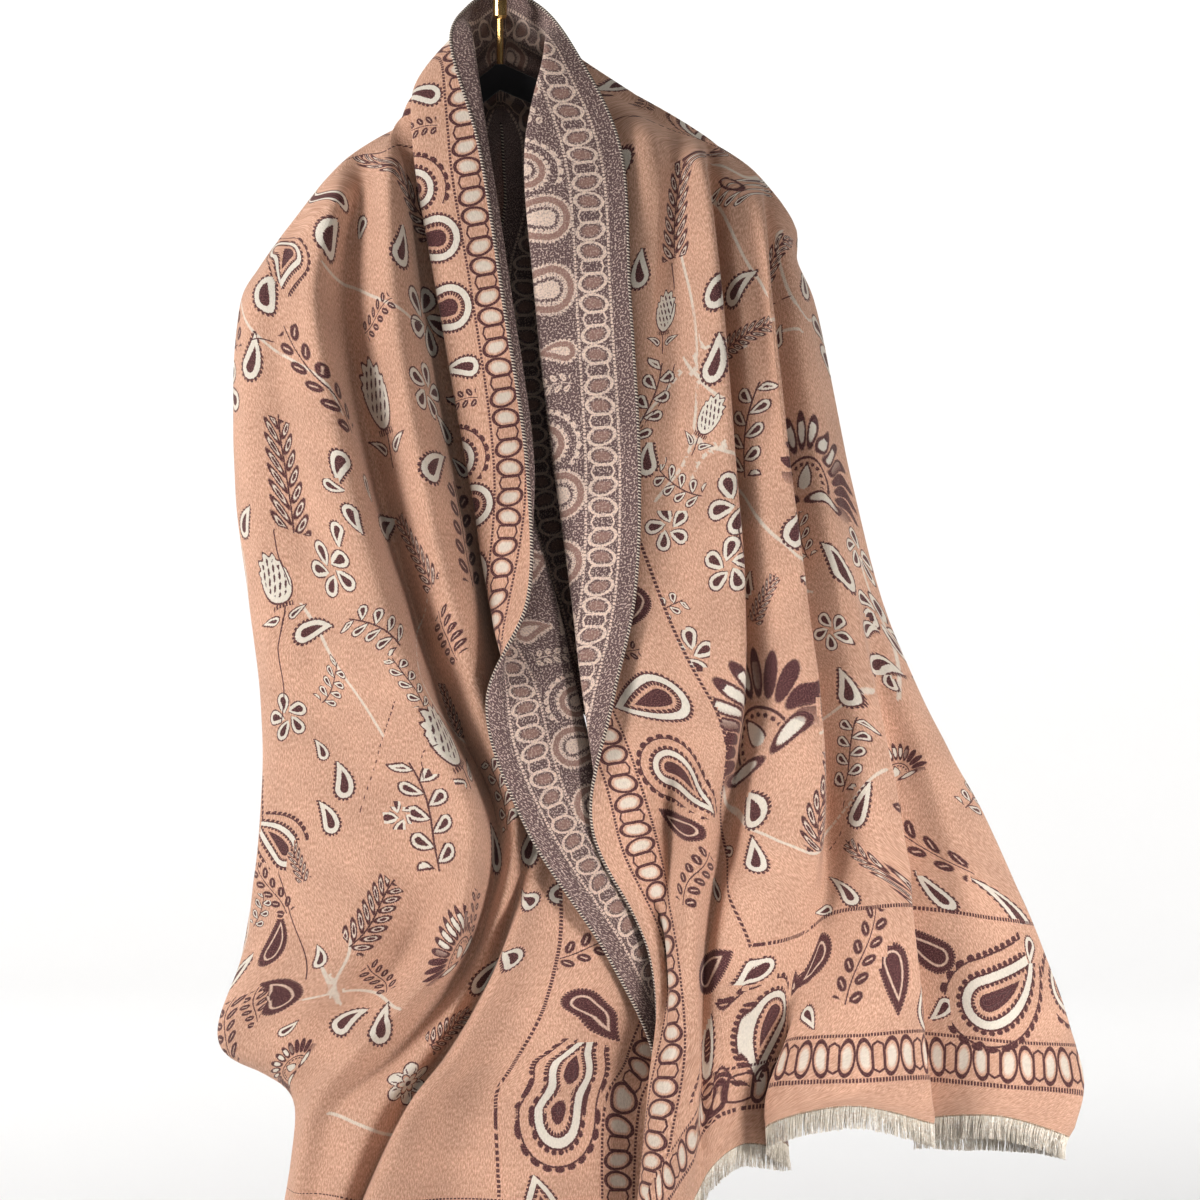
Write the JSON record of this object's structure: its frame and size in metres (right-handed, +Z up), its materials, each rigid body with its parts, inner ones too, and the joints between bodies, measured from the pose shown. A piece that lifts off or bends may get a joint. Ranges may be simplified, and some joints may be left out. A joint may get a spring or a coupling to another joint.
{
  "type": "tassel shawl on a padded hanger",
  "caption": "Wide fringed paisley shawl hung open over a slim padded clothes hanger, with its collar turned out and its ends falling in soft folds.",
  "frame": {"origin": "inner top of the hanger's hook, where a rail carries it, in the middle plane of the hanger", "axes": "+X to the right as seen from the front, +Y towards the back, +Z up"},
  "size_m": [0.6449, 0.1556, 1.0419],
  "materials": {
    "cloth": "brushed double-faced jacquard, peach with a paisley pattern, grey-plum on the reverse",
    "fringe": "loose beige warp threads",
    "velvet": "black velvet padding",
    "gold": "polished gold-coloured metal"
  },
  "bodies": {
    "root": {"shawl_right": "cloth", "shawl_left": "cloth", "fringe_right": "fringe", "fringe_left": "fringe", "hanger_arms": "velvet", "hanger_hook": "gold", "hanger_ferrule": "gold"}
  },
  "joints": []
}
